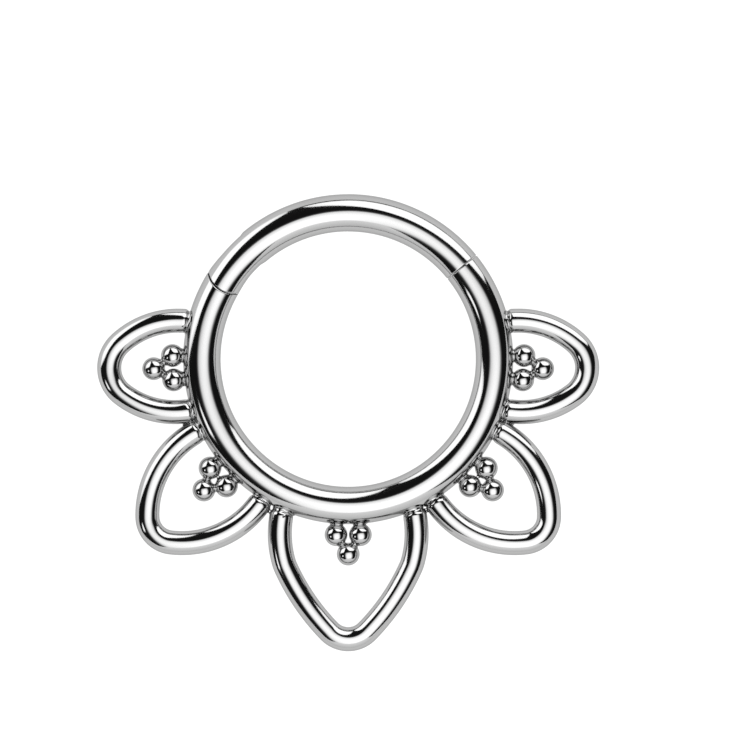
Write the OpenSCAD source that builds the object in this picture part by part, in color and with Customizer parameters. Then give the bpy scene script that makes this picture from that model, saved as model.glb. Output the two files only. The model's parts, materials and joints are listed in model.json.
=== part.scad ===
// Hinged segment ring for a septum piercing, with five bent wire petals and a triad of beads in each.
// The ring lies flat in the XY plane around the origin. Its front faces +Z and its hinged segment is at +Y.

/* [Ring] */
// Inner diameter of the ring
ring_inner_d = 8; // [7.5:0.1:9]
// Diameter of the ring's round wire
wire_d = 1.2; // [1.1:0.05:1.3]

/* [Closure] */
// Direction of the closing seam, from +X towards +Y
seam_angle = 39; // [30:1:45]
// Gap between the two faces of the seam
seam_gap = 0.04; // [0.02:0.01:0.06]
// Diameter of the nub on the free end of the segment
nub_d = 0.5; // [0.4:0.05:0.5]
// How far the nub stands out of the segment's end face
nub_reach = 0.42; // [0.36:0.02:0.44]
// Clearance between the nub and its socket
nub_play = 0.06; // [0.04:0.01:0.08]

/* [Hinge] */
// Direction of the hinge pin, from +X towards +Y
hinge_angle = 138.5; // [136:0.5:141]
// Distance of the pin outside the centre line of the wire
pin_offset = 0.1; // [0:0.05:0.1]
// Reach of the segment's front lap beyond the pin
front_reach = 1.04; // [1:0.02:1.1]
// Reach of the lower ring's rear lap beyond the pin
rear_reach = 0.84; // [0.8:0.02:0.9]
// Gap between the laps and around their ends
lap_gap = 0.04; // [0.02:0.01:0.06]
// Diameter of the hinge pin
pin_d = 0.4; // [0.3:0.05:0.45]
// Radial play of the pin in the segment's lap
pin_play = 0.03; // [0.01:0.01:0.04]

/* [Petals] */
// Diameter of the petals' wire
petal_wire_d = 0.76; // [0.7:0.02:0.8]
// Gap between the ring and the end of a petal's wire
foot_gap = 0.11; // [0.11:0.01:0.14]
// Bevel round the end of a petal's wire
foot_bevel = 0.1; // [0.06:0.02:0.12]
// Diameter of the soldered neck that joins a petal's foot to the ring
foot_neck_d = 0.52; // [0.4:0.04:0.6]

/* [Beads] */
// Diameter of a bead
bead_d = 0.7; // [0.6:0.02:0.7]
// Spacing of the two beads next to the ring
bead_spacing = 0.77; // [0.76:0.01:0.8]
// Gap that the necks bridge between a bead and the ring or the next bead
bead_gap = 0.02; // [0.02:0.01:0.04]
// Diameter of the neck between a bead and the ring
bead_neck_d = 0.3; // [0.26:0.02:0.34]
// Diameter of the neck between two beads
link_neck_d = 0.24; // [0.2:0.02:0.26]

/* [Hidden] */
$fn = 64;
steel = [0.78, 0.79, 0.8];

wire_r = wire_d / 2;
centre_r = ring_inner_d / 2 + wire_r;
outer_r = centre_r + wire_r;
petal_wire_r = petal_wire_d / 2;
bead_r = bead_d / 2;
pin_r = pin_d / 2;
nub_r = nub_d / 2;

// Columns: turn from straight down, reach of the tip's centre line beyond the ring, and the bends of one
// half from the tip to the foot, each a radius and the angle that it turns. The last bend ends at the foot.
PETALS = [
    [0, 3.6, [[0.85, 46], [7, 20], [1.3, 9], [3.3, 0]]],
    [47.8, 3.02, [[0.8, 41], [3, 0]]],
    [87.6, 2.32, [[1.05, 50], [2.7, 0]]],
];

// In a petal's own plane X runs across it and Y outwards from the ring's centre. A heading is the angle
// that the wire has turned since the tip, so the wire lies at [sin, cos] of it from the bend's centre.
function heading_at(bends, i) = i == 0 ? 0 : heading_at(bends, i - 1) + bends[i - 1][1];
function on_bend(centre, radius, heading) = centre + radius * [sin(heading), cos(heading)];
function bend_centre(petal, i) =
    let (bends = petal[2])
    i == 0
        ? [0, outer_r + petal[1] - bends[0][0]]
        : on_bend(bend_centre(petal, i - 1), bends[i - 1][0] - bends[i][0], heading_at(bends, i));

// Heading at which a circle round a centre comes within a distance of the ring's centre
function heading_near(centre, radius, distance) =
    atan2(centre.x, centre.y)
    + acos((distance ^ 2 - norm(centre) ^ 2 - radius ^ 2) / (2 * radius * norm(centre)));

// Sides of the petals' wire and the angle that one stretch of it turns
petal_sides = 16;
ring_turn = 11;
neck_root_turn = 2;

// Hinge and closure places
overlap = 0.3;
side_cut = 2;
wedge_turn = 26;
pin_at = (centre_r + pin_offset) * [cos(hinge_angle), sin(hinge_angle)];
pin_foot_z = -0.56;
pin_top_z = 0.36;
pin_end_play = 0.04;
press_play = 0.01;
seam_turn = seam_gap / 2 / centre_r * 180 / PI;
nub_neck_r = 0.8 * nub_r;
nub_inset = 0.08;
face_depth = nub_reach - nub_r;
seam_tangent = [sin(seam_angle), -cos(seam_angle)];
seam_at = (centre_r - nub_inset) * [cos(seam_angle), sin(seam_angle)];
nub_at = seam_at + (face_depth - seam_gap / 2) * seam_tangent;
swing_direction = atan2(nub_at.y - pin_at.y, nub_at.x - pin_at.x) + 90;

// Round wire bent to a radius, from one direction anticlockwise to another
module wire_arc(radius, from, to, r) {
    rotate([0, 0, from])
        rotate_extrude(angle = to - from)
            translate([radius, 0])
                circle(r);
}

// Round bar from a point along a direction in the XY plane
module bar(at, direction, length, r) {
    translate([at.x, at.y, 0])
        rotate([0, 90, direction])
            cylinder(r = r, h = length);
}

// Disc round the pin, seen from the front
module pin_disc(r) {
    translate(pin_at)
        circle(r);
}

// Part of the plane from the hinge's own direction round to another one
module hinge_wedge(turn) {
    far = 2 * outer_r;
    polygon([
        [0, 0],
        far * [cos(hinge_angle), sin(hinge_angle)],
        far * [cos(hinge_angle + turn), sin(hinge_angle + turn)],
    ]);
}

// Points of a petal's centre line from one foot over the tip to the other, each [x, y, heading]
function bend_points(petal, i, end) =
    let (
        start = heading_at(petal[2], i),
        steps = ceil((end - start) / ring_turn)
    )
    [
        for (k = [1 : steps])
            let (heading = start + (end - start) * k / steps)
            concat(on_bend(bend_centre(petal, i), petal[2][i][0], heading), heading)
    ];
function half_points(petal, foot_heading) =
    let (last = len(petal[2]) - 1)
    [
        for (i = [0 : last])
            each bend_points(petal, i, i == last ? foot_heading : heading_at(petal[2], i + 1))
    ];
function mirrored(half) = [for (i = [len(half) - 1 : -1 : 0]) [-half[i].x, half[i].y, -half[i][2]]];
function petal_points(petal, foot_heading) =
    let (half = half_points(petal, foot_heading))
    concat(mirrored(half), [[0, outer_r + petal[1], 0]], half);

// Round bar of many flat sides along a flat line of [x, y, heading] points, with bevelled ends
module swept_bar(line, r, bevel) {
    count = len(line);
    back = [for (p = [line[0], line[count - 1]]) bevel * [cos(p[2]), -sin(p[2])]];
    stations = concat(
        [concat(line[0], r - bevel)],
        [[line[0].x + back[0].x, line[0].y + back[0].y, line[0][2], r]],
        [for (i = [1 : count - 2]) concat(line[i], r)],
        [[line[count - 1].x - back[1].x, line[count - 1].y - back[1].y, line[count - 1][2], r]],
        [concat(line[count - 1], r - bevel)]
    );
    last = len(stations) - 1;
    points = [
        for (s = stations)
            for (k = [0 : petal_sides - 1])
                let (a = 360 * k / petal_sides)
                [s.x + s[3] * cos(a) * sin(s[2]), s.y + s[3] * cos(a) * cos(s[2]), s[3] * sin(a)]
    ];
    walls = [
        for (i = [0 : last - 1])
            for (k = [0 : petal_sides - 1])
                let (next = (k + 1) % petal_sides, a = i * petal_sides, b = a + petal_sides)
                [a + k, b + k, b + next, a + next]
    ];
    caps = [
        [for (k = [0 : petal_sides - 1]) k],
        [for (k = [petal_sides - 1 : -1 : 0]) last * petal_sides + k],
    ];
    polyhedron(points, concat(walls, caps));
}

module one_petal(petal) {
    bends = petal[2];
    last = len(bends) - 1;
    foot_centre = bend_centre(petal, last);
    foot_heading = heading_near(foot_centre, bends[last][0], outer_r + foot_gap);
    neck_at = on_bend(foot_centre, bends[last][0], foot_heading - neck_root_turn);
    swept_bar(petal_points(petal, foot_heading), petal_wire_r, foot_bevel);
    for (side = [-1, 1])
        bar(
            [side * neck_at.x, neck_at.y],
            side > 0 ? -foot_heading : foot_heading + 180,
            foot_gap + 2 * overlap,
            foot_neck_d / 2
        );
}

module bead_triad() {
    pair_r = outer_r + bead_gap + bead_r;
    pair_x = bead_spacing / 2;
    pair_y = sqrt(pair_r ^ 2 - pair_x ^ 2);
    tip_y = pair_y + sqrt((bead_d + bead_gap) ^ 2 - pair_x ^ 2);
    translate([0, tip_y])
        sphere(bead_r);
    for (side = [-1, 1]) {
        pair_at = [side * pair_x, pair_y];
        translate(pair_at)
            sphere(bead_r);
        bar(pair_at, atan2(-pair_at.y, -pair_at.x), bead_r + bead_gap + overlap, bead_neck_d / 2);
        bar(pair_at, atan2(tip_y - pair_at.y, -pair_at.x), bead_d, link_neck_d / 2);
    }
}

// Blind hole that follows the nub's way out as the segment starts to swing
module click_socket() {
    socket_r = nub_r + nub_play;
    translate(nub_at)
        sphere(socket_r);
    bar(nub_at, swing_direction, 1, socket_r - nub_play / 4);
}

module lower_ring() {
    color(steel) {
        difference() {
            wire_arc(centre_r, hinge_angle - wedge_turn, 360 + seam_angle - seam_turn, wire_r);
            translate([0, 0, -lap_gap / 2])
                linear_extrude(side_cut)
                    union() {
                        pin_disc(front_reach + lap_gap);
                        hinge_wedge(-wedge_turn - 4);
                    }
            translate([0, 0, -side_cut])
                linear_extrude(side_cut)
                    difference() {
                        hinge_wedge(-wedge_turn - 4);
                        pin_disc(rear_reach);
                    }
            translate([pin_at.x, pin_at.y, -side_cut])
                cylinder(r = pin_r + press_play, h = 2 * side_cut);
            click_socket();
        }
        for (petal = PETALS)
            for (side = petal[0] == 0 ? [1] : [-1, 1])
                rotate([0, 0, 180 + side * petal[0]]) {
                    one_petal(petal);
                    bead_triad();
                }
    }
}

module hinged_segment() {
    color(steel) {
        difference() {
            wire_arc(centre_r, seam_angle + seam_turn, hinge_angle + wedge_turn, wire_r);
            linear_extrude(side_cut)
                difference() {
                    hinge_wedge(wedge_turn + 4);
                    pin_disc(front_reach);
                }
            translate([0, 0, -side_cut])
                linear_extrude(side_cut + lap_gap / 2)
                    union() {
                        pin_disc(rear_reach + lap_gap);
                        hinge_wedge(wedge_turn + 4);
                    }
            translate([pin_at.x, pin_at.y, -side_cut])
                cylinder(r = pin_r + pin_play, h = side_cut + pin_top_z + pin_end_play);
        }
        bar(nub_at, seam_angle + 90, face_depth + overlap, nub_neck_r);
        translate(nub_at)
            sphere(nub_r);
    }
}

module hinge_pin() {
    color(steel)
        translate([pin_at.x, pin_at.y, pin_foot_z])
            cylinder(r = pin_r, h = pin_top_z - pin_foot_z);
}

lower_ring();
hinged_segment();
hinge_pin();
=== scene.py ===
"""Hinged septum ring of mirror-polished steel with five wire petals and five groups of beads"""
import json
import math

import bmesh
import bpy
import numpy as np
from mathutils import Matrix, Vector


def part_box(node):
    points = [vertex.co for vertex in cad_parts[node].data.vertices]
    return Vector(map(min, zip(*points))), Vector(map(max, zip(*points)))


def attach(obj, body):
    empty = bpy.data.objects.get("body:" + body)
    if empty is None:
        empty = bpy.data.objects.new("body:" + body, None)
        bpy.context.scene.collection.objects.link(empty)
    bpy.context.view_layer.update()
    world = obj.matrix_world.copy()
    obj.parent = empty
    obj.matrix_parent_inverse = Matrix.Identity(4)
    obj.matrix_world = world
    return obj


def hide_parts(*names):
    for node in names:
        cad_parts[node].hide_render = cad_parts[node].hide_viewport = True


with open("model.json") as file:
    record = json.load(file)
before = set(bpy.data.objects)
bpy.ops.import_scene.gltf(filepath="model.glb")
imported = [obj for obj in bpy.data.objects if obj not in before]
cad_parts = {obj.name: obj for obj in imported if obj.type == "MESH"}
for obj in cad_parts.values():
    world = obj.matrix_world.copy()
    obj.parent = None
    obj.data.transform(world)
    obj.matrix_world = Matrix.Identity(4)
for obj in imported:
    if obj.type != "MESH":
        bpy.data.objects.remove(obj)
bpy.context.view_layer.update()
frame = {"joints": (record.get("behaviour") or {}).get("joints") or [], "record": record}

# Sizes that the frame gives, in millimetres
MM = 0.001
mounts = {m["name"]: m for m in frame["record"]["mounts"]}
hinge_joint = frame["joints"][0]
RING_INNER_R = mounts["wearing_opening"]["dims"]["r_mm"]
WIRE_R = mounts["piercing_wire"]["dims"]["r_mm"]
CENTRE_R = RING_INNER_R + WIRE_R
OUTER_R = CENTRE_R + WIRE_R
PIN_AT = np.array(hinge_joint["pos_m"][:2]) / MM
pin_low, pin_high = (np.array(corner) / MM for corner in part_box("hinge_pin"))
PIN_R = (pin_high[0] - pin_low[0]) / 2

# What polishing takes off the ring's wire and off the pin
POLISHED_OFF = 0.01
PIN_POLISHED_OFF = 0.004

# Hinge, in millimetres and degrees. The segment's front lap ends in a round tongue, and the lower ring's rear
# lap ends on a circle about the pin.
HINGE_ANGLE = math.degrees(math.atan2(PIN_AT[1], PIN_AT[0]))
FRONT_REACH = 1.06
TONGUE_R = 0.824
TONGUE_POINTS = 258
REAR_REACH = 0.85
LAP_GAP = 0.028
LAP_EDGE = 0.035
SOCKET_EDGE = 0.05
BORE_EDGE = LAP_EDGE / 3
PIN_EDGE = LAP_EDGE / 2
PIN_BORE_PLAY = 0.03
PIN_BORE_TOP = 0.4

# Flats on both sides of the laps: their depth, the rounding of their edges, half the length over which they
# start, and how far outside the wire they lie where there is no lap
LAP_SLIMMING = 0.035
FLAT_EDGE = 0.08
FLAT_START = 0.1
FLAT_OFF = 0.05

# Closing seam
SEAM_ANGLE = 39
SEAM_GAP = 0.01
SEAM_EDGE = 0.035
NUB_EDGE = SEAM_EDGE / 2
NUB_R = 0.25
NUB_NECK_R = 0.2
NUB_NECK_LENGTH = 0.6
NUB_REACH = 0.42
NUB_INSET = 0.08
NUB_PLAY = 0.06
WAY_OUT_PLAY = 0.045
WAY_OUT_LENGTH = 1

# Petals: turn from straight down of the petal and of its beads, gap between the ring and the pair of beads,
# how far beyond the ring the middle of the wire is at the tip, gap between the ring and the wire's end, and
# the bends of one half from the tip to the foot, each a radius and the angle that it turns. The last bend
# ends at the foot.
PETALS = [
    (0, 0, -0.028, 3.605, -0.02, [(0.83, 45.7), (7, 20), (1.3, 9), (3.3, 60)]),
    (48, 47.8, -0.03, 3.012, -0.04, [(0.825, 41), (3, 90)]),
    (87.6, 87.2, -0.033, 2.32, -0.05, [(1.05, 50), (2.7, 90)]),
]
PETAL_R = 0.38
FOOT_EDGE = 0.17
FOOT_NECK_R = 0.3
SOLDER_FILLET = 0.05

# Beads
BEAD_R = 0.36
BEAD_SPACING = 0.765
BEAD_FILLET = 0.07

# Grid steps of the meshed surfaces in millimetres, and how far the grids go on past a piece. The finest steps
# lie within a reach of a lap's end or of the seam.
COARSE_STEP = 0.06
FINE_STEP = 0.032
FINEST_STEP = 0.016
FINEST_REACH = 0.09
PLAIN_WIRE_STEP = 3 * FINE_STEP
BORDER = 0.1

# Stretches of the ring with fine grids, how far the lower ring's goes on past the seam, and how far the
# segment's does for its nub, all in degrees
HINGE_STRETCH = (126, 156)
SEAM_STRETCH = (30, 48)
PAST_SEAM = 1
PAST_SEAM_FOR_NUB = 7

# Where the coarse body meets the fine ends: how far it goes on before it is cut, and how near the cut its
# faces and its open edge are looked for
PAST_CUT = 0.3
CUT_REACH = 3 * COARSE_STEP
RIM_REACH = 0.1
SAME_POINT = 1e-4

# Points of a skin are moved onto the surface in a few rounds, along slopes that are never taken as flat
SKIN_ROUNDS = 4
LEAST_SLOPE_SQUARED = 0.25

# A distance beyond every other one in the part
FAR = 1e3


def unit(degrees):
    return np.array([math.cos(math.radians(degrees)), math.sin(math.radians(degrees))])


def turned(degrees):
    """The direction a quarter turn on, which is the way the wire runs there"""
    return unit(degrees + 90)


def both(a, b, edge):
    """Field of what two fields share, with the edge between them rounded"""
    return np.minimum(np.maximum(a, b), -edge) + np.hypot(np.maximum(a + edge, 0), np.maximum(b + edge, 0))


def either(a, b, fillet):
    """Field of two forms joined, with a fillet between them"""
    return -both(-a, -b, fillet)


def distance_along(p, way):
    return p[..., 0] * way[0] + p[..., 1] * way[1]


def distance_from(p, axis):
    """Distance from an upright axis"""
    return np.hypot(p[..., 0] - axis[0], p[..., 1] - axis[1])


def ring_wire(p):
    return np.hypot(np.hypot(p[..., 0], p[..., 1]) - CENTRE_R, p[..., 2]) - (WIRE_R - POLISHED_OFF)


def ball(p, centre, r):
    return np.sqrt((p[..., 0] - centre[0]) ** 2 + (p[..., 1] - centre[1]) ** 2 + p[..., 2] ** 2) - r


def bar(p, start, direction, length, r):
    """Round bar in the ring's plane with flat ends"""
    along = (p[..., 0] - start[0]) * direction[0] + (p[..., 1] - start[1]) * direction[1]
    across = (p[..., 0] - start[0]) * direction[1] - (p[..., 1] - start[1]) * direction[0]
    middle = np.abs(along - length / 2) - length / 2
    return both(np.hypot(across, p[..., 2]) - r, middle, 0)


tongue_at = PIN_AT + (FRONT_REACH - TONGUE_R) * unit(TONGUE_POINTS)


def beyond_hinge(p):
    """Distance past the hinge's own radial line towards the segment"""
    return distance_along(p, -turned(HINGE_ANGLE))


def along_seam(p):
    """Distance past the seam's plane towards the segment"""
    return distance_along(p, turned(SEAM_ANGLE))


def lap_wire(p):
    """Ring wire whose sides are ground a little flat where the laps lie on each other"""
    across = np.abs(np.hypot(p[..., 0], p[..., 1]) - CENTRE_R)
    start = np.clip((REAR_REACH + FLAT_START - distance_from(p, PIN_AT)) / (2 * FLAT_START), 0, 1)
    fade = np.clip(1 + beyond_hinge(p) / FRONT_REACH, 0, 1)
    share = np.where(beyond_hinge(p) > 0, start, fade)
    eased = share * share * (3 - 2 * share)
    flat = across - (WIRE_R + FLAT_OFF) + eased * (FLAT_OFF + LAP_SLIMMING)
    return both(ring_wire(p), flat, FLAT_EDGE)


seam_middle = (CENTRE_R - NUB_INSET) * unit(SEAM_ANGLE)
nub_at = seam_middle - (NUB_REACH - NUB_R - SEAM_GAP / 2) * turned(SEAM_ANGLE)
swing_way = np.array([-(nub_at - PIN_AT)[1], (nub_at - PIN_AT)[0]]) / np.linalg.norm(nub_at - PIN_AT)


def ring_hinge_end(p):
    """Lower ring at the hinge: its rear lap under the notch for the segment's front lap"""
    front = np.maximum(TONGUE_R + LAP_GAP - distance_from(p, tongue_at), beyond_hinge(p))
    rear = np.minimum(beyond_hinge(p), distance_from(p, PIN_AT) - REAR_REACH)
    rear_lap = both(p[..., 2] + LAP_GAP / 2, rear, LAP_EDGE)
    solid = both(lap_wire(p), np.minimum(front, rear_lap), SOCKET_EDGE)
    return both(solid, PIN_R - distance_from(p, PIN_AT), BORE_EDGE)


def segment_hinge_end(p):
    """Segment at the hinge: its front lap over the pin, with a blind hole for the pin"""
    rear = np.maximum(REAR_REACH + LAP_GAP - distance_from(p, PIN_AT), -beyond_hinge(p))
    front = np.minimum(-beyond_hinge(p), distance_from(p, tongue_at) - TONGUE_R)
    front_lap = both(LAP_GAP / 2 - p[..., 2], front, LAP_EDGE)
    solid = both(lap_wire(p), np.minimum(rear, front_lap), LAP_EDGE)
    bore = both(distance_from(p, PIN_AT) - PIN_R - PIN_BORE_PLAY, p[..., 2] - PIN_BORE_TOP, BORE_EDGE)
    return both(solid, -bore, BORE_EDGE)


def ring_seam_end(p):
    """Lower ring at the seam: a flat end with the socket that the nub clicks into and its way out"""
    solid = both(ring_wire(p), along_seam(p) + SEAM_GAP / 2, SEAM_EDGE)
    way_out = bar(p, nub_at, swing_way, WAY_OUT_LENGTH, NUB_R + WAY_OUT_PLAY)
    socket = np.minimum(ball(p, nub_at, NUB_R + NUB_PLAY), way_out)
    return both(solid, -socket, NUB_EDGE)


def segment_seam_end(p):
    """Segment at the seam: a flat end with the rounded nub on it"""
    solid = both(ring_wire(p), SEAM_GAP / 2 - along_seam(p), SEAM_EDGE)
    neck = bar(p, nub_at, turned(SEAM_ANGLE), NUB_NECK_LENGTH, NUB_NECK_R)
    return either(solid, np.minimum(ball(p, nub_at, NUB_R), neck), NUB_EDGE)


def segment_field(p):
    return np.where(p[..., 0] < 0, segment_hinge_end(p), segment_seam_end(p))


def bend_table(reach, foot_gap, bends):
    """Each bend of a petal's half as its centre, radius and the headings where it starts and ends"""
    rows = []
    heading = 0
    centre = np.array([0, OUTER_R + reach - bends[0][0]])
    for i, (radius, turn) in enumerate(bends):
        if i:
            way = np.array([math.sin(math.radians(heading)), math.cos(math.radians(heading))])
            centre = centre + (bends[i - 1][0] - radius) * way
        rows.append((centre, radius, math.radians(heading), math.radians(heading + turn)))
        heading += turn
    centre, radius, start, _ = rows[-1]
    far = math.hypot(*centre)
    distance = OUTER_R + foot_gap
    foot = math.atan2(*centre) + math.acos((distance**2 - far**2 - radius**2) / (2 * radius * far))
    rows[-1] = (centre, radius, start, foot)
    return rows


def petal(x, y, z, rows):
    """Field of a petal's wire and of the necks at its feet. X runs across the petal and Y outwards."""
    x = np.abs(x)
    wire = np.full(x.shape, FAR)
    for centre, radius, start, end in rows:
        dx, dy = x - centre[0], y - centre[1]
        middle = (start + end) / 2
        heading = (np.arctan2(dx, dy) - middle + math.pi) % (2 * math.pi) - math.pi + middle
        heading = np.clip(heading, start, end)
        flat = np.hypot(dx - radius * np.sin(heading), dy - radius * np.cos(heading))
        tube = np.hypot(flat, z) - PETAL_R
        if end == rows[-1][3]:
            sine, cosine = math.sin(end), math.cos(end)
            foot = centre + radius * np.array([sine, cosine])
            along = (x - foot[0]) * cosine - (y - foot[1]) * sine
            across = (x - foot[0]) * sine + (y - foot[1]) * cosine
            ended = both(np.hypot(across, z) - PETAL_R, along, FOOT_EDGE)
            tube = np.where(along > -FOOT_EDGE, ended, tube)
            neck = both(np.hypot(across, z) - FOOT_NECK_R, np.abs(along) - FOOT_NECK_R, 0)
        wire = np.minimum(wire, tube)
    return wire, neck


petal_rows = [(turn, bead_turn, bead_gap, bend_table(*shape)) for turn, bead_turn, bead_gap, *shape in PETALS]


def outwards_frame(p, turn):
    """Coordinates across and along the direction that a turn from straight down points to"""
    outwards = unit(270 + turn)
    across = np.array([-outwards[1], outwards[0]])
    return distance_along(p, across), distance_along(p, outwards)


def lower_body(p):
    """Lower ring away from its ends, with the petals and beads soldered to it"""
    z = p[..., 2]
    ring = ring_wire(p)
    field = ring
    pair_x = BEAD_SPACING / 2
    for turn, bead_turn, bead_gap, rows in petal_rows:
        pair_y = math.sqrt((OUTER_R + bead_gap + BEAD_R) ** 2 - pair_x**2)
        tip_y = pair_y + math.sqrt(4 * BEAD_R**2 - pair_x**2)
        for side in ([1] if turn == 0 else [-1, 1]):
            wire, neck = petal(*outwards_frame(p, side * turn), z, rows)
            field = np.minimum(field, either(np.minimum(ring, wire), neck, SOLDER_FILLET))
            x, y = outwards_frame(p, side * bead_turn)
            pair = np.sqrt((np.abs(x) - pair_x) ** 2 + (y - pair_y) ** 2 + z**2) - BEAD_R
            tip = np.sqrt(x**2 + (y - tip_y) ** 2 + z**2) - BEAD_R
            beads = either(pair, tip, BEAD_FILLET)
            field = np.minimum(field, either(ring, beads, BEAD_FILLET))
    return field


def clipped_body(p):
    """Lower body that ends a little past the two cuts where its ends are joined on"""
    past_seam = distance_along(p, turned(SEAM_STRETCH[0])) - PAST_CUT
    past_hinge = -distance_along(p, turned(HINGE_STRETCH[1])) - PAST_CUT
    upper = np.where(p[..., 0] > 0, past_seam, past_hinge)
    return np.maximum(lower_body(p), np.where(p[..., 1] > 0, upper, -FAR))


def slopes(field, p, eps=1e-3):
    """Gradient of a field at points"""
    parts = []
    for axis in range(3):
        step = np.zeros(3)
        step[axis] = eps
        parts.append((field(p + step) - field(p - step)) / (2 * eps))
    return np.stack(parts, -1)


def unit_slopes(field, points):
    slope = slopes(field, points)
    return slope / np.linalg.norm(slope, axis=1)[:, None]


def skin(field, lines, place=lambda grid: grid):
    """Points and quads of a field's surface: one point in each cell of a grid that the surface crosses"""
    grid = place(np.stack(np.meshgrid(*lines, indexing="ij"), -1))
    value = field(grid)
    shape = np.array(value.shape) - 1
    total = np.zeros((shape.prod(), 3))
    count = np.zeros(shape.prod())
    quads = []
    for axis in range(3):
        u, v = (axis + 1) % 3, (axis + 2) % 3
        low = tuple(slice(0, -1) if i == axis else slice(None) for i in range(3))
        high = tuple(slice(1, None) if i == axis else slice(None) for i in range(3))
        crossed = (value[low] < 0) != (value[high] < 0)
        where = np.argwhere(crossed)
        a, b = value[low][crossed], value[high][crossed]
        share = (a / (a - b))[:, None]
        hit = grid[low][crossed] * (1 - share) + grid[high][crossed] * share
        corners = []
        whole = np.ones(len(where), bool)
        for du, dv in ((0, 0), (1, 0), (1, 1), (0, 1)):
            cell = where.copy()
            cell[:, u] -= du
            cell[:, v] -= dv
            held = ((cell >= 0) & (cell < shape)).all(1)
            number = cell[:, 0] * shape[1] * shape[2] + cell[:, 1] * shape[2] + cell[:, 2]
            index = np.where(held, number, 0)
            count += np.bincount(index[held], minlength=len(count))
            for k in range(3):
                total[:, k] += np.bincount(index[held], hit[held, k], minlength=len(count))
            corners.append(index)
            whole &= held
        quad = np.stack(corners, -1)
        quad[a > 0] = quad[a > 0][:, ::-1]
        quads.append(quad[whole])
    quads = np.concatenate(quads)
    used, inverse = np.unique(quads, return_inverse=True)
    points = total[used] / count[used, None]
    for _ in range(SKIN_ROUNDS):
        slope = slopes(field, points)
        steepness = np.maximum((slope**2).sum(-1), LEAST_SLOPE_SQUARED)
        points = points - (field(points) / steepness)[:, None] * slope
    return points, inverse.reshape(quads.shape).tolist()


def round_the_ring(grid):
    """Places a grid of radius, direction in degrees and height"""
    turn = np.radians(grid[..., 1])
    return np.stack([grid[..., 0] * np.cos(turn), grid[..., 0] * np.sin(turn), grid[..., 2]], -1)


def turn_on_circle(centre, reach, side, radius):
    """Degrees past the hinge of a circle's points at distances from the ring's axis"""
    far = math.hypot(*centre)
    cosine = (radius**2 + far**2 - reach**2) / (2 * radius * far)
    centre_turn = math.degrees(math.atan2(centre[1], centre[0])) - HINGE_ANGLE
    return centre_turn + side * np.degrees(np.arccos(np.clip(cosine, -1, 1)))


def rear_turn(radius):
    return turn_on_circle(PIN_AT, REAR_REACH + LAP_GAP / 2, -1, radius)


def front_turn(radius):
    return turn_on_circle(tongue_at, TONGUE_R + LAP_GAP / 2, 1, radius)


def round_the_hinge(grid):
    """As round_the_ring, but bent so that the grid lies along the curved ends of both laps"""
    radius, turn, height = grid[..., 0], grid[..., 1], grid[..., 2]
    ends = [HINGE_STRETCH[0] - HINGE_ANGLE, HINGE_STRETCH[1] - HINGE_ANGLE]
    keys = [ends[0], float(rear_turn(CENTRE_R)), 0, float(front_turn(CENTRE_R)), ends[1]]
    bent = [ends[0], rear_turn(radius), 0, front_turn(radius), ends[1]]
    offset = turn - HINGE_ANGLE
    placed = offset
    for a, b, bent_a, bent_b in zip(keys, keys[1:], bent, bent[1:]):
        share = (offset - a) / (b - a)
        placed = np.where((offset >= a) & (offset <= b), bent_a + (bent_b - bent_a) * share, placed)
    return round_the_ring(np.stack([radius, HINGE_ANGLE + placed, height], -1))


def across_lines():
    """Fine grid lines across the ring's wire, radial and upright, a third of a step off its own planes"""
    half = math.ceil((WIRE_R + BORDER) / FINE_STEP) * FINE_STEP
    offsets = np.arange(-half, half + FINE_STEP / 2, FINE_STEP) + FINE_STEP / 3
    return CENTRE_R + offsets, offsets


def turn_lines(start, end, step=FINE_STEP, edges=()):
    """Directions in degrees with a step between them along the wire, and the finest step at the edges"""
    degree = math.radians(1) * CENTRE_R
    lines = [start]
    while lines[-1] < end - step / 2 / degree:
        near = min((abs(lines[-1] + step / 2 / degree - edge) * degree for edge in edges), default=step)
        lines.append(lines[-1] + (FINEST_STEP if near < FINEST_REACH else step) / degree)
    return np.array(lines)


def hinge_turn_lines():
    lap_ends = [HINGE_ANGLE + float(rear_turn(CENTRE_R)), HINGE_ANGLE + float(front_turn(CENTRE_R))]
    return turn_lines(*HINGE_STRETCH, edges=lap_ends)


def body_lines():
    """Coarse upright grid lines round the whole lower ring"""
    (low_x, _, _), (high_x, high_y, _) = (np.array(corner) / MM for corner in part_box("lower_ring"))
    lowest_tip = OUTER_R + max(reach for _, _, _, reach, *_ in PETALS) + PETAL_R
    low = np.array([low_x, -lowest_tip, -WIRE_R]) - BORDER
    high = np.array([high_x, high_y, WIRE_R]) + BORDER
    return [np.arange(a, b + COARSE_STEP, COARSE_STEP) for a, b in zip(low, high)]


def rim_at(points, faces, degrees):
    """Points of the open edge round the wire near a direction, and their turns round the wire, in order"""
    edges = np.sort([(face[i - 1], corner) for face in faces for i, corner in enumerate(face)], 1)
    keys, counts = np.unique(edges, axis=0, return_counts=True)
    rim = np.unique(keys[counts == 1])
    near = np.abs(distance_along(points[rim], turned(degrees))) < RIM_REACH
    rim = rim[near & (distance_along(points[rim], unit(degrees)) > 0)]
    turn = np.arctan2(points[rim, 2], np.hypot(points[rim, 0], points[rim, 1]) - CENTRE_R)
    order = np.argsort(turn)
    return rim[order], turn[order]


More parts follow.
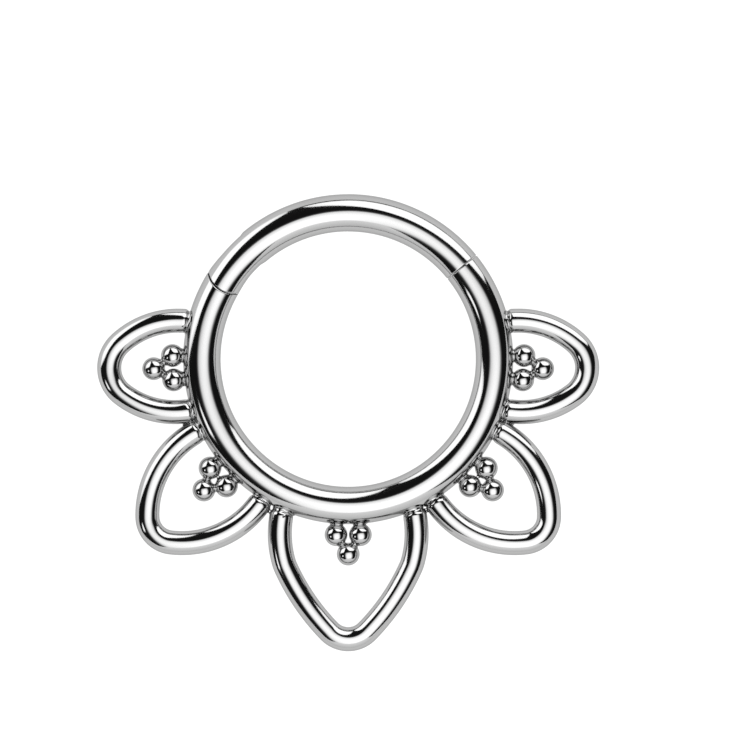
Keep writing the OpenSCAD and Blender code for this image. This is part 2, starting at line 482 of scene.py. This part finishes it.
def zipped(edge_a, edge_b):
    """Triangles between two open edges round the wire. The first lies further anticlockwise round the ring."""
    (rim_a, turn_a), (rim_b, turn_b) = edge_a, edge_b
    n, m = len(rim_a), len(rim_b)
    next_a = np.append(turn_a[1:], turn_a[0] + 2 * math.pi)
    next_b = np.append(turn_b[1:], turn_b[0] + 2 * math.pi)
    i = j = 0
    faces = []
    while i < n or j < m:
        step_a = j >= m or (i < n and next_a[i] <= next_b[j])
        a, b = rim_a[i % n], rim_b[j % m]
        if step_a:
            faces.append([b, a, rim_a[(i + 1) % n]])
            i += 1
        else:
            faces.append([b, a, rim_b[(j + 1) % m]])
            j += 1
    return faces


def cut_ends(points, quads):
    """Cuts the lower body square across its wire at its two ends"""
    bm = bmesh.new()
    verts = [bm.verts.new(p) for p in points]
    for q in quads:
        bm.faces.new([verts[i] for i in q])
    for degrees, beyond in ((SEAM_STRETCH[0], 1), (HINGE_STRETCH[1], -1)):
        way, out = Vector((*turned(degrees), 0)), Vector((*unit(degrees), 0))
        near = [f for f in bm.faces
                if abs(f.calc_center_median().dot(way)) < CUT_REACH and f.calc_center_median().dot(out) > 0]
        geom = near + list({e for f in near for e in f.edges}) + list({v for f in near for v in f.verts})
        bmesh.ops.bisect_plane(bm, geom=geom, dist=SAME_POINT, plane_co=(0, 0, 0), plane_no=way)
        gone = [f for f in bm.faces
                if f.calc_center_median().dot(way) * beyond > 0 and f.calc_center_median().dot(out) > 0]
        bmesh.ops.delete(bm, geom=gone, context="FACES")
    bmesh.ops.triangulate(bm, faces=[f for f in bm.faces if len(f.verts) > 4])
    bm.verts.index_update()
    points = np.array([v.co for v in bm.verts])
    faces = [[v.index for v in f.verts] for f in bm.faces]
    bm.free()
    return points, faces


def make_piece(name, points, faces, normals, body, node):
    """A smooth mesh object that stands for a CAD node, with exact normals"""
    mesh = bpy.data.meshes.new(name)
    mesh.from_pydata((points * MM).tolist(), [], faces)
    mesh.validate()
    mesh.polygons.foreach_set("use_smooth", [True] * len(mesh.polygons))
    mesh.normals_split_custom_set_from_vertices(normals.tolist())
    mesh.update()
    piece = bpy.data.objects.new(name, mesh)
    bpy.context.scene.collection.objects.link(piece)
    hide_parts(node)
    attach(piece, body)
    return piece


def build_lower_ring():
    """Lower ring: a coarse body, and fine ends joined on at the hinge and at the seam"""
    radial, upright = across_lines()
    at_seam, at_hinge = SEAM_STRETCH[0], HINGE_STRETCH[1]
    seam_turns = turn_lines(at_seam, SEAM_ANGLE + PAST_SEAM, edges=[SEAM_ANGLE])
    parts = [
        (lower_body, *cut_ends(*skin(clipped_body, body_lines()))),
        (ring_hinge_end, *skin(ring_hinge_end, (radial, hinge_turn_lines(), upright), round_the_hinge)),
        (ring_seam_end, *skin(ring_seam_end, (radial, seam_turns, upright), round_the_ring)),
    ]
    normals = np.concatenate([unit_slopes(field, points) for field, points, _ in parts])
    firsts = np.cumsum([0] + [len(points) for _, points, _ in parts]).tolist()
    body, hinge, seam = ([[first + i for i in face] for face in faces]
                         for first, (_, _, faces) in zip(firsts, parts))
    points = np.concatenate([points for _, points, _ in parts])
    faces = body + hinge + seam
    faces += zipped(rim_at(points, seam, at_seam), rim_at(points, body, at_seam))
    faces += zipped(rim_at(points, body, at_hinge), rim_at(points, hinge, at_hinge))
    return make_piece("lower_ring_polished", points, faces, normals, "ring_body", "lower_ring")


def build_segment():
    radial, upright = across_lines()
    seam = turn_lines(SEAM_ANGLE - PAST_SEAM_FOR_NUB, SEAM_STRETCH[1], edges=[SEAM_ANGLE])
    middle = turn_lines(SEAM_STRETCH[1], HINGE_STRETCH[0], PLAIN_WIRE_STEP)
    turns = np.concatenate([seam, middle[1:-1], hinge_turn_lines()])
    points, quads = skin(segment_field, (radial, turns, upright), round_the_hinge)
    normals = unit_slopes(segment_field, points)
    return make_piece("hinged_segment_polished", points, quads, normals, "segment", "hinged_segment")


def pin_field(p):
    ends = np.abs(p[..., 2] - (pin_low[2] + pin_high[2]) / 2) - (pin_high[2] - pin_low[2]) / 2
    return both(distance_from(p, PIN_AT) - PIN_R + PIN_POLISHED_OFF, ends, PIN_EDGE)


def build_pin():
    lines = [np.arange(a - BORDER / 2, b + BORDER / 2, FINE_STEP) for a, b in zip(pin_low, pin_high)]
    points, quads = skin(pin_field, lines)
    normals = unit_slopes(pin_field, points)
    return make_piece("hinge_pin_polished", points, quads, normals, "ring_body", "hinge_pin")


# Steel: grey of its face and tint of its edge, and the haze that polishing leaves, in roughness and in grey
STEEL_DARKER = 0.425
STEEL_LIGHTER = 0.455
STEEL_EDGE_TINT = 0.6
STEEL_SMOOTHEST = 0.06
STEEL_ROUGHEST = 0.1
HAZE_SCALE = 900
HAZE_DETAIL = 4


def grey(tone):
    return (tone, tone, tone, 1)


def polished_steel():
    """Mirror-polished steel with a faint haze"""
    material = bpy.data.materials.new("polished_steel")
    material.use_nodes = True
    nodes, links = material.node_tree.nodes, material.node_tree.links
    shader = nodes["Principled BSDF"]
    shader.inputs["Metallic"].default_value = 1
    shader.inputs["Specular Tint"].default_value = grey(STEEL_EDGE_TINT)
    place = nodes.new("ShaderNodeTexCoord")
    haze = nodes.new("ShaderNodeTexNoise")
    haze.inputs["Scale"].default_value = HAZE_SCALE
    haze.inputs["Detail"].default_value = HAZE_DETAIL
    links.new(place.outputs["Object"], haze.inputs["Vector"])
    roughness = nodes.new("ShaderNodeMapRange")
    roughness.inputs["To Min"].default_value = STEEL_SMOOTHEST
    roughness.inputs["To Max"].default_value = STEEL_ROUGHEST
    links.new(haze.outputs["Fac"], roughness.inputs["Value"])
    links.new(roughness.outputs["Result"], shader.inputs["Roughness"])
    colour = nodes.new("ShaderNodeMix")
    colour.data_type = "RGBA"
    colour.inputs["A"].default_value = grey(STEEL_DARKER)
    colour.inputs["B"].default_value = grey(STEEL_LIGHTER)
    links.new(haze.outputs["Fac"], colour.inputs["Factor"])
    links.new(colour.outputs["Result"], shader.inputs["Base Color"])
    return material


# Floor: half its width in metres, its grey, and its own glow, which keeps it nearly free of shadow
FLOOR_HALF = 0.8
FLOOR_GREY = 0.15
FLOOR_GLOW = 0.98


def pale_floor():
    """Matt white that glows by itself"""
    material = bpy.data.materials.new("pale_floor")
    material.use_nodes = True
    shader = material.node_tree.nodes["Principled BSDF"]
    shader.inputs["Base Color"].default_value = grey(FLOOR_GREY)
    shader.inputs["Roughness"].default_value = 1
    shader.inputs["Specular IOR Level"].default_value = 0
    shader.inputs["Emission Color"].default_value = grey(1)
    shader.inputs["Emission Strength"].default_value = FLOOR_GLOW
    return material


def build_stage():
    """Plain floor under the ring"""
    corners = [(-FLOOR_HALF, -FLOOR_HALF, 0), (FLOOR_HALF, -FLOOR_HALF, 0),
               (FLOOR_HALF, FLOOR_HALF, 0), (-FLOOR_HALF, FLOOR_HALF, 0)]
    floor = bpy.data.meshes.new("floor")
    floor.from_pydata(corners, [], [(0, 1, 2, 3)])
    floor.materials.append(pale_floor())
    piece = bpy.data.objects.new("floor", floor)
    piece.location.z = -WIRE_R * MM
    bpy.context.scene.collection.objects.link(piece)


# Soft lights on a dome round the ring, whose radius is in metres. A place on it is where a mirror ball under
# the camera would show it, in parts of the ball's radius to the right and up.
STUDIO_R = 0.08

# Overhead softbox: its light at places across and up, in parts of its radiance
OVERHEAD_RADIANCE = 2.5
OVERHEAD_ACROSS = [
    (-0.36, 0.005), (-0.31, 0.015), (-0.275, 0.06), (-0.235, 0.3), (-0.2, 0.58), (-0.15, 0.78), (-0.05, 0.95),
    (0.05, 1), (0.15, 0.97), (0.22, 0.86), (0.28, 0.7), (0.32, 0.38), (0.365, 0.1), (0.41, 0.01),
]
OVERHEAD_UP = [
    (0.18, 0.004), (0.14, 0.02), (0.115, 0.1), (0.097, 0.33), (0.08, 0.62), (0.03, 0.75), (-0.03, 0.88),
    (-0.1, 0.97), (-0.2, 1), (-0.3, 1), (-0.36, 1), (-0.4, 0.7),
]

# Its outline: how high it is widest, how fast it narrows above and below, how far it goes to the left as it
# goes up, and how far it goes up as it goes to the right
OVERHEAD_WIDEST = -0.13
OVERHEAD_ROUNDING = 3
OVERHEAD_SHEAR = 0.1
OVERHEAD_LEAN = 0.13

# Other lights: radiance in the middle and at the rim, and the rim's corners
SOFT_LIGHTS = {
    "back_right": (2.5, 1.8, [
        (-0.19, 0.62), (0.03, 0.65), (0.25, 0.61), (0.46, 0.49), (0.57, 0.36), (0.5, 0.28),
        (0.32, 0.265), (0.16, 0.27), (0.08, 0.3), (0, 0.36), (-0.12, 0.51)]),
    "back_left": (2.4, 1.5, [
        (-0.69, -0.01), (-0.67, 0.2), (-0.52, 0.48), (-0.38, 0.6), (-0.27, 0.65), (-0.245, 0.58),
        (-0.275, 0.47), (-0.32, 0.315), (-0.35, 0.195), (-0.43, 0.1), (-0.62, 0.03)]),
    "left_spot": (2.1, 0.25, [
        (-0.41, -0.16), (-0.39, -0.21), (-0.42, -0.26), (-0.5, -0.27), (-0.5, -0.16), (-0.46, -0.12)]),
}

# How far out the bright middle of these goes, and the parts that each side of the rim is cut into
BRIGHT_SHARE = 0.7
RIM_PARTS = 3

# Low pale wall all round: azimuths and elevations of its top, the elevation of its foot and the longest step
# between its points, all in degrees, and its radiance at the horizon and what each degree up adds to it
LOW_WALL = [
    (0, 11), (8, 7), (15, 1), (25, 2), (60, 4), (120, 4), (180, 5), (195, 2), (210, 3), (218, 10),
    (225, 16), (240, 23), (248, 33), (255, 42), (285, 43), (300, 40), (308, 26), (315, 15), (330, 10),
    (345, 11), (360, 11),
]
LOW_WALL_FOOT = -1
LOW_WALL_STEP = 3
LOW_WALL_LEVELS = 5
LOW_WALL_RADIANCE = 0.98
LOW_WALL_CLIMB = 0.011

# Grey of everything else that the ring mirrors
DARK_STUDIO = 0.012


def towards(azimuth, elevation):
    flat = math.cos(math.radians(elevation))
    return Vector((flat * math.cos(math.radians(azimuth)), flat * math.sin(math.radians(azimuth)),
                   math.sin(math.radians(elevation))))


def seen_at(right, up):
    """Direction of what a mirror ball shows at a place"""
    facing = math.sqrt(1 - right * right - up * up)
    return Vector((2 * facing * right, 2 * facing * up, 2 * facing * facing - 1))


def glowing():
    """Light whose strength is stored at the points of its own mesh"""
    material = bpy.data.materials.new("soft_light")
    material.use_nodes = True
    nodes, links = material.node_tree.nodes, material.node_tree.links
    nodes.remove(nodes["Principled BSDF"])
    stored = nodes.new("ShaderNodeAttribute")
    stored.attribute_name = "radiance"
    glow = nodes.new("ShaderNodeEmission")
    links.new(stored.outputs["Fac"], glow.inputs["Strength"])
    links.new(glow.outputs["Emission"], nodes["Material Output"].inputs["Surface"])
    return material


def light_panel(name, directions, faces, radiance, material):
    """Part of the dome that lights the ring and that the camera doesn't see"""
    mesh = bpy.data.meshes.new(name)
    mesh.from_pydata([STUDIO_R * d for d in directions], [], faces)
    mesh.attributes.new("radiance", "FLOAT", "POINT").data.foreach_set("value", radiance)
    mesh.materials.append(material)
    panel = bpy.data.objects.new(name, mesh)
    panel.visible_camera = False
    bpy.context.scene.collection.objects.link(panel)


def overhead_place(x, y):
    narrowed = x * (1 - OVERHEAD_ROUNDING * (y - OVERHEAD_WIDEST) ** 2)
    return narrowed - OVERHEAD_SHEAR * y, y + OVERHEAD_LEAN * x


def overhead_light(material):
    columns, rows = len(OVERHEAD_ACROSS), len(OVERHEAD_UP)
    directions = [seen_at(*overhead_place(x, y)) for y, _ in OVERHEAD_UP for x, _ in OVERHEAD_ACROSS]
    radiance = [OVERHEAD_RADIANCE * a * b for _, b in OVERHEAD_UP for _, a in OVERHEAD_ACROSS]
    faces = [(j * columns + i, j * columns + i + 1, (j + 1) * columns + i + 1, (j + 1) * columns + i)
             for j in range(rows - 1) for i in range(columns - 1)]
    light_panel("overhead", directions, faces, radiance, material)


def soft_light(name, middle, edge, corners, material):
    """Panel that is bright in the middle and softer towards its rim"""
    rim = []
    for (x, y), (next_x, next_y) in zip(corners, corners[1:] + corners[:1]):
        rim += [(x + (next_x - x) * k / RIM_PARTS, y + (next_y - y) * k / RIM_PARTS) for k in range(RIM_PARTS)]
    n = len(rim)
    mid_x, mid_y = sum(x for x, _ in rim) / n, sum(y for _, y in rim) / n
    bright = [(mid_x + BRIGHT_SHARE * (x - mid_x), mid_y + BRIGHT_SHARE * (y - mid_y)) for x, y in rim]
    faces = [(0, 1 + i, 1 + (i + 1) % n) for i in range(n)]
    faces += [(1 + i, 1 + n + i, 1 + n + (i + 1) % n, 1 + (i + 1) % n) for i in range(n)]
    directions = [seen_at(*place) for place in [(mid_x, mid_y)] + bright + rim]
    light_panel(name, directions, faces, [middle] * (n + 1) + [edge] * n, material)


def low_wall(material):
    top = []
    for (a, high_a), (b, high_b) in zip(LOW_WALL, LOW_WALL[1:]):
        steps = math.ceil((b - a) / LOW_WALL_STEP)
        top += [(a + (b - a) * k / steps, high_a + (high_b - high_a) * k / steps) for k in range(steps)]
    n = len(top)
    directions, radiance = [], []
    for level in range(LOW_WALL_LEVELS):
        for azimuth, high in top:
            elevation = high + (LOW_WALL_FOOT - high) * level / (LOW_WALL_LEVELS - 1)
            directions.append(towards(azimuth, elevation))
            radiance.append(LOW_WALL_RADIANCE + LOW_WALL_CLIMB * elevation)
    faces = [(k * n + i, k * n + (i + 1) % n, (k + 1) * n + (i + 1) % n, (k + 1) * n + i)
             for k in range(LOW_WALL_LEVELS - 1) for i in range(n)]
    light_panel("low_wall", directions, faces, radiance, material)


def build_world():
    """White behind the floor, and dark in what the ring mirrors"""
    world = bpy.data.worlds.new("studio")
    bpy.context.scene.world = world
    world.use_nodes = True
    nodes, links = world.node_tree.nodes, world.node_tree.links
    tone = nodes.new("ShaderNodeMix")
    tone.data_type = "RGBA"
    tone.inputs["A"].default_value = grey(DARK_STUDIO)
    tone.inputs["B"].default_value = grey(1)
    links.new(nodes.new("ShaderNodeLightPath").outputs["Is Camera Ray"], tone.inputs["Factor"])
    links.new(tone.outputs["Result"], nodes["Background"].inputs["Color"])


def build_light():
    material = glowing()
    overhead_light(material)
    for name, (middle, edge, corners) in SOFT_LIGHTS.items():
        soft_light(name, middle, edge, corners, material)
    low_wall(material)
    build_world()


# Camera: lens and sensor, and in millimetres the width of its picture on the ring's plane and the picture's
# middle. Nearer and further than its clip distances, in metres, it sees nothing.
CAMERA_LENS = 200
CAMERA_SENSOR = 36
PICTURE_WIDTH = 23.58
PICTURE_MIDDLE = (0.842, -0.498)
CLIP_START = 0.005
CLIP_END = 5


def build_camera():
    """Long lens straight over the ring, as the picture frames it"""
    data = bpy.data.cameras.new("camera")
    data.lens = CAMERA_LENS
    data.sensor_width = CAMERA_SENSOR
    data.clip_start, data.clip_end = CLIP_START, CLIP_END
    camera = bpy.data.objects.new("camera", data)
    height = PICTURE_WIDTH * CAMERA_LENS / CAMERA_SENSOR
    camera.location = (PICTURE_MIDDLE[0] * MM, PICTURE_MIDDLE[1] * MM, height * MM)
    bpy.context.scene.collection.objects.link(camera)
    bpy.context.scene.camera = camera


bpy.context.scene.view_settings.view_transform = "Standard"
steel = polished_steel()
for piece in (build_lower_ring(), build_segment(), build_pin()):
    piece.data.materials.append(steel)
build_stage()
build_light()
build_camera()
